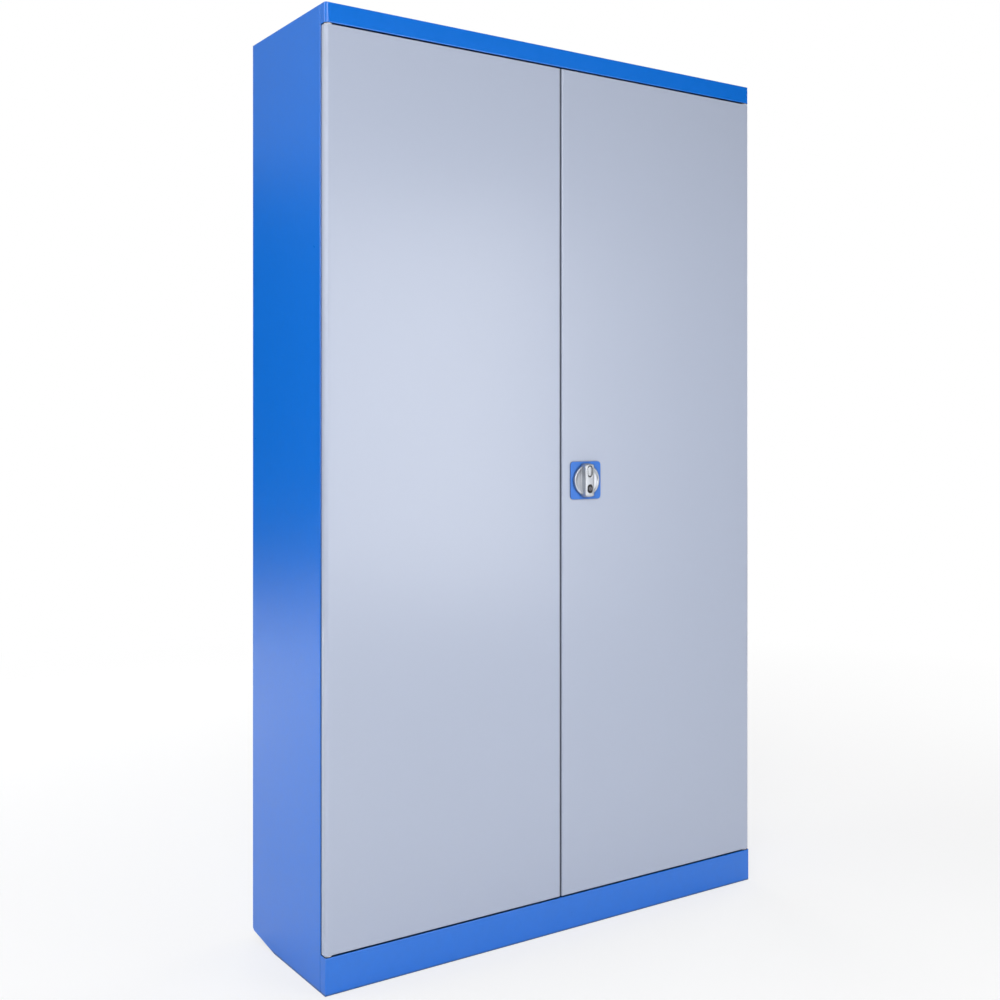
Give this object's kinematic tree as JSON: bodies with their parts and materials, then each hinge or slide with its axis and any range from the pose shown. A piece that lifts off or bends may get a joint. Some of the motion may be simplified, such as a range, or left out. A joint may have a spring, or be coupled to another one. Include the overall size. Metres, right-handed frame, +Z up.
{
  "type": "tool cabinet with doors",
  "caption": "Tall steel tool cabinet with hinged doors, adjustable shelves and a key-locked turn handle that drives rods into header and plinth.",
  "frame": {"origin": "centre of the cabinet's footprint, on the floor", "axes": "+Z up, -Y towards the doors, +X to the right of a person who faces the doors"},
  "size_m": [1.15, 0.3816, 1.95],
  "materials": {
    "body_paint": "azure blue textured powder coat",
    "door_paint": "light grey semi-gloss powder coat",
    "shelf_paint": "light grey semi-gloss powder coat",
    "zinc_steel": "zinc plated",
    "white_nylon": "moulded",
    "buffer_rubber": "matt",
    "plate_paint": "semi-gloss",
    "handle_metal": "satin silver",
    "black_plastic": "moulded",
    "plug_metal": "polished"
  },
  "bodies": {
    "carcass": {"left_side_panel": "body_paint", "right_side_panel": "body_paint", "roof_panel": "body_paint", "base_panel": "body_paint", "left_back_panel": "body_paint", "right_back_panel": "body_paint", "front_left_upright": "body_paint", "front_right_upright": "body_paint", "rear_left_upright": "body_paint", "rear_right_upright": "body_paint", "shelf_1": "shelf_paint", "shelf_2": "shelf_paint", "shelf_3": "shelf_paint", "shelf_4": "shelf_paint", "shelf_beams": "shelf_paint", "shelf_clips": "zinc_steel", "rear_rivets": "zinc_steel", "upper_left_hinge_pin": "zinc_steel", "upper_right_hinge_pin": "zinc_steel", "lower_left_hinge_pin": "zinc_steel", "lower_right_hinge_pin": "zinc_steel", "upper_hinge_plates": "zinc_steel", "lower_hinge_plates": "zinc_steel", "upper_strike_plate": "zinc_steel", "lower_strike_plate": "zinc_steel", "door_buffers": "buffer_rubber"},
    "left_door": {"left_door_skin": "door_paint", "left_door_stiffener": "door_paint", "left_hinge_brackets": "zinc_steel", "upper_left_hinge_bush": "white_nylon", "lower_left_hinge_bush": "white_nylon", "latch_keeper": "zinc_steel"},
    "right_door": {"right_door_skin": "door_paint", "right_door_stiffener": "door_paint", "right_hinge_brackets": "zinc_steel", "upper_right_hinge_bush": "white_nylon", "lower_right_hinge_bush": "white_nylon", "lock_back_plate": "plate_paint", "lock_case": "zinc_steel", "lock_case_cover": "zinc_steel", "lock_case_screws": "zinc_steel", "rod_guides": "white_nylon"},
    "handle": {"turn_handle": "handle_metal", "key_bezel": "black_plastic", "handle_spindle": "zinc_steel", "lock_pinion": "zinc_steel", "side_latch": "zinc_steel", "spindle_screw": "zinc_steel"},
    "upper_rod": {"upper_lock_rod": "zinc_steel"},
    "lower_rod": {"lower_lock_rod": "zinc_steel"},
    "key_core": {"key_plug": "plug_metal"},
    "lock_pin": {"blocking_pin": "zinc_steel"}
  },
  "joints": [
    {"name": "left_door_swing", "type": "hinge", "parent": "carcass", "child": "left_door", "pos_m": [-0.565, -0.17, 0.9925], "axis": [0, 0, -1], "range_deg": [0, 180]},
    {"name": "right_door_swing", "type": "hinge", "parent": "carcass", "child": "right_door", "pos_m": [0.565, -0.17, 0.9925], "axis": [0, 0, 1], "range_deg": [0, 180]},
    {"name": "handle_turn", "type": "hinge", "parent": "right_door", "child": "handle", "pos_m": [0.06575, -0.18, 0.996], "axis": [0, 1, 0], "range_deg": [0, 90]},
    {"name": "upper_rod_slide", "type": "slide", "parent": "right_door", "child": "upper_rod", "axis": [0, 0, 1], "range_m": [0, 0.02002]},
    {"name": "lower_rod_slide", "type": "slide", "parent": "right_door", "child": "lower_rod", "axis": [0, 0, -1], "range_m": [0, 0.02005]},
    {"name": "key_turn", "type": "hinge", "parent": "handle", "child": "key_core", "pos_m": [0.06575, -0.1988, 0.9775], "axis": [0, 1, 0], "range_deg": [0, 90]},
    {"name": "blocking_pin_slide", "type": "slide", "parent": "handle", "child": "lock_pin", "axis": [0, 1, 0], "range_m": [0, 0.00221]}
  ],
  "couplings": [
    {"joint": "handle_turn", "follows": "upper_rod_slide", "rad_per_m": 78.431},
    {"joint": "lower_rod_slide", "follows": "upper_rod_slide", "ratio": 1},
    {"joint": "blocking_pin_slide", "follows": "key_turn", "m_per_rad": 0.0014}
  ]
}
